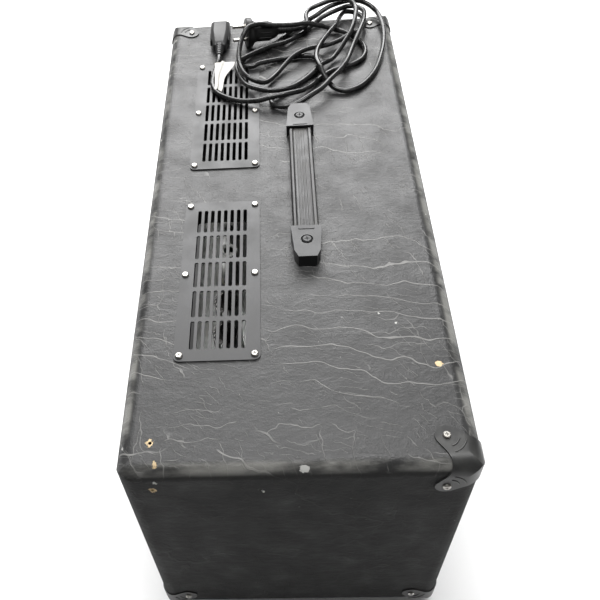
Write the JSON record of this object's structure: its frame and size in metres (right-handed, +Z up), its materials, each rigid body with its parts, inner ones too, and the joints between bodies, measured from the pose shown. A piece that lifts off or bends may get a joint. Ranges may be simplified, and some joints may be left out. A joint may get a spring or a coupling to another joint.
{
  "type": "guitar amplifier head",
  "caption": "Valve guitar amplifier head in a covered wooden cabinet with vent grilles, strap handle, corner protectors, controls, chassis and a loose mains lead on its lid.",
  "frame": {"origin": "under the middle of the cabinet, on the plane that the feet stand on", "axes": "+Z up; -Y towards the player's side with the controls; +X to the right as the player sees it"},
  "size_m": [0.7503, 0.318, 0.379],
  "materials": {
    "plywood": "birch plywood, unfinished",
    "vinyl": "embossed black vinyl",
    "corner_plastic": "glossy black",
    "plated_steel": "nickel plated",
    "rubber": "matt black",
    "strap_rubber": "ribbed black vinyl",
    "cap_plastic": "satin black",
    "grille_paint": "satin dark grey",
    "grille_fabric": "black woven",
    "piping_plastic": "ivory",
    "panel_aluminium": "brushed",
    "chassis_steel": "zinc plated",
    "board_laminate": "green laminate",
    "capacitor_sleeve": "blue sleeve",
    "jack_plastic": "black",
    "switch_plastic": "black",
    "knob_plastic": "black, white pointer",
    "rocker_red": "red",
    "lamp_red": "red lens",
    "valve_glass": "clear, silvered top",
    "socket_ceramic": "ceramic",
    "shield_aluminium": "satin",
    "iron_black": "black enamel",
    "cord_rubber": "black",
    "plug_plastic": "moulded black",
    "paper": "white paper"
  },
  "bodies": {
    "cabinet": {"top_board": "plywood", "bottom_board": "plywood", "left_board": "plywood", "right_board": "plywood", "cleats": "plywood", "vinyl_covering": "vinyl", "corner_protectors": "corner_plastic", "corner_screws": "plated_steel", "rubber_feet": "rubber", "foot_screws": "plated_steel", "vent_grille_left": "grille_paint", "vent_grille_right": "grille_paint", "vent_screws": "plated_steel", "handle_cap_left": "cap_plastic", "handle_cap_right": "cap_plastic", "handle_screws": "iron_black", "baffle_board": "plywood", "grille_cloth": "grille_fabric", "front_piping": "piping_plastic", "front_rail": "vinyl", "control_panel": "panel_aluminium", "chassis": "chassis_steel", "chassis_bolts": "plated_steel", "circuit_board": "board_laminate", "filter_capacitors": "capacitor_sleeve", "potentiometers": "plated_steel", "input_jacks": "jack_plastic", "switch_housings": "switch_plastic", "pilot_lamp": "lamp_red", "power_valves": "valve_glass", "valve_sockets": "socket_ceramic", "preamp_valves": "valve_glass", "valve_shields": "shield_aluminium", "power_transformer": "iron_black", "output_transformer": "iron_black", "choke": "iron_black", "rear_guard": "grille_paint", "rear_screws": "plated_steel", "mains_inlet": "switch_plastic", "fuse_holder": "switch_plastic", "rear_jacks": "jack_plastic", "mains_cord": "cord_rubber", "cord_connector": "plug_plastic", "cord_plug": "plug_plastic", "plug_pins": "plated_steel", "paper_tag": "paper"},
    "knob_1": {"knob_1": "knob_plastic"},
    "knob_2": {"knob_2": "knob_plastic"},
    "knob_3": {"knob_3": "knob_plastic"},
    "knob_4": {"knob_4": "knob_plastic"},
    "knob_5": {"knob_5": "knob_plastic"},
    "knob_6": {"knob_6": "knob_plastic"},
    "knob_7": {"knob_7": "knob_plastic"},
    "knob_8": {"knob_8": "knob_plastic"},
    "power_rocker": {"power_rocker": "rocker_red"},
    "standby_rocker": {"standby_rocker": "rocker_red"},
    "channel_button": {"channel_button": "switch_plastic"},
    "fuse_cap": {"fuse_cap": "switch_plastic"},
    "strap_left": {"strap_left": "strap_rubber"},
    "strap_right": {"strap_right": "strap_rubber"}
  },
  "joints": [
    {"name": "knob_1_turn", "type": "hinge", "parent": "cabinet", "child": "knob_1", "pos_m": [-0.205, -0.142, 0.072], "axis": [0, 1, 0], "range_deg": [-150, 150]},
    {"name": "knob_2_turn", "type": "hinge", "parent": "cabinet", "child": "knob_2", "pos_m": [-0.155, -0.142, 0.072], "axis": [0, 1, 0], "range_deg": [-150, 150]},
    {"name": "knob_3_turn", "type": "hinge", "parent": "cabinet", "child": "knob_3", "pos_m": [-0.105, -0.142, 0.072], "axis": [0, 1, 0], "range_deg": [-150, 150]},
    {"name": "knob_4_turn", "type": "hinge", "parent": "cabinet", "child": "knob_4", "pos_m": [-0.055, -0.142, 0.072], "axis": [0, 1, 0], "range_deg": [-150, 150]},
    {"name": "knob_5_turn", "type": "hinge", "parent": "cabinet", "child": "knob_5", "pos_m": [-0.005, -0.142, 0.072], "axis": [0, 1, 0], "range_deg": [-150, 150]},
    {"name": "knob_6_turn", "type": "hinge", "parent": "cabinet", "child": "knob_6", "pos_m": [0.045, -0.142, 0.072], "axis": [0, 1, 0], "range_deg": [-150, 150]},
    {"name": "knob_7_turn", "type": "hinge", "parent": "cabinet", "child": "knob_7", "pos_m": [0.095, -0.142, 0.072], "axis": [0, 1, 0], "range_deg": [-150, 150]},
    {"name": "knob_8_turn", "type": "hinge", "parent": "cabinet", "child": "knob_8", "pos_m": [0.145, -0.142, 0.072], "axis": [0, 1, 0], "range_deg": [-150, 150]},
    {"name": "standby_rocker_tilt", "type": "hinge", "parent": "cabinet", "child": "standby_rocker", "pos_m": [0.222, -0.1301, 0.072], "axis": [1, 0, 0], "range_deg": [-22, 0]},
    {"name": "power_rocker_tilt", "type": "hinge", "parent": "cabinet", "child": "power_rocker", "pos_m": [0.262, -0.1301, 0.072], "axis": [1, 0, 0], "range_deg": [-22, 0]},
    {"name": "channel_button_press", "type": "slide", "parent": "cabinet", "child": "channel_button", "axis": [0, 1, 0], "range_m": [0, 0.003], "stiffness_N_per_m": 300, "springref_m": -0.001},
    {"name": "fuse_cap_turn", "type": "hinge", "parent": "cabinet", "child": "fuse_cap", "pos_m": [-0.232, 0.1295, 0.07], "axis": [0, 1, 0], "range_deg": [-90, 0]},
    {"name": "strap_lift", "type": "hinge", "parent": "cabinet", "child": "strap_left", "pos_m": [-0.092, -0.019, 0.3465], "axis": [0, -1, 0], "range_deg": [0, 12]},
    {"name": "strap_fold", "type": "hinge", "parent": "strap_left", "child": "strap_right", "pos_m": [0, -0.019, 0.343], "axis": [0, -1, 0], "range_deg": [-24, 0]}
  ],
  "couplings": [
    {"joint": "strap_fold", "follows": "strap_lift", "ratio": -2}
  ]
}
